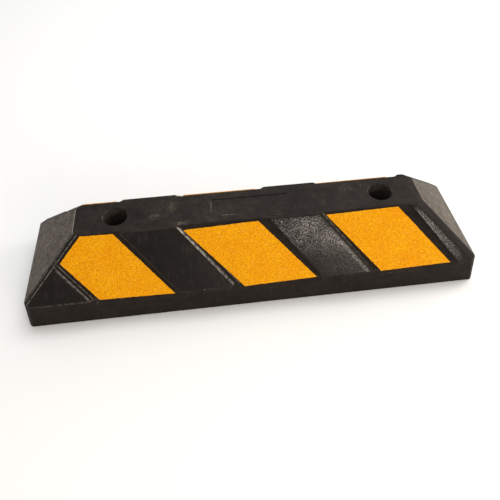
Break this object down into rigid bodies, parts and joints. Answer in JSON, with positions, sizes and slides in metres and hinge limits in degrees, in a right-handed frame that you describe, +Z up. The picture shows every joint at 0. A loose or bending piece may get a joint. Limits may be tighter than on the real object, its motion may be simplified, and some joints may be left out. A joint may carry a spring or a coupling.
{
  "type": "rubber wheel stop",
  "caption": "Moulded black rubber wheel stop with sloping long sides, bolt holes in the flat top and slanted yellow reflective sheets set into the slopes.",
  "frame": {"origin": "middle of the flat underside, on the ground", "axes": "+X along the block, -Y towards its front slope, +Z up"},
  "size_m": [0.55, 0.15, 0.097],
  "materials": {
    "moulded_rubber": "matt, dusty",
    "reflective_sheet": "satin, glass-beaded"
  },
  "bodies": {
    "root": {"body": "moulded_rubber", "front_reflector_left": "reflective_sheet", "front_reflector_centre": "reflective_sheet", "front_reflector_right": "reflective_sheet", "rear_reflector_left": "reflective_sheet", "rear_reflector_centre": "reflective_sheet", "rear_reflector_right": "reflective_sheet"}
  },
  "joints": []
}
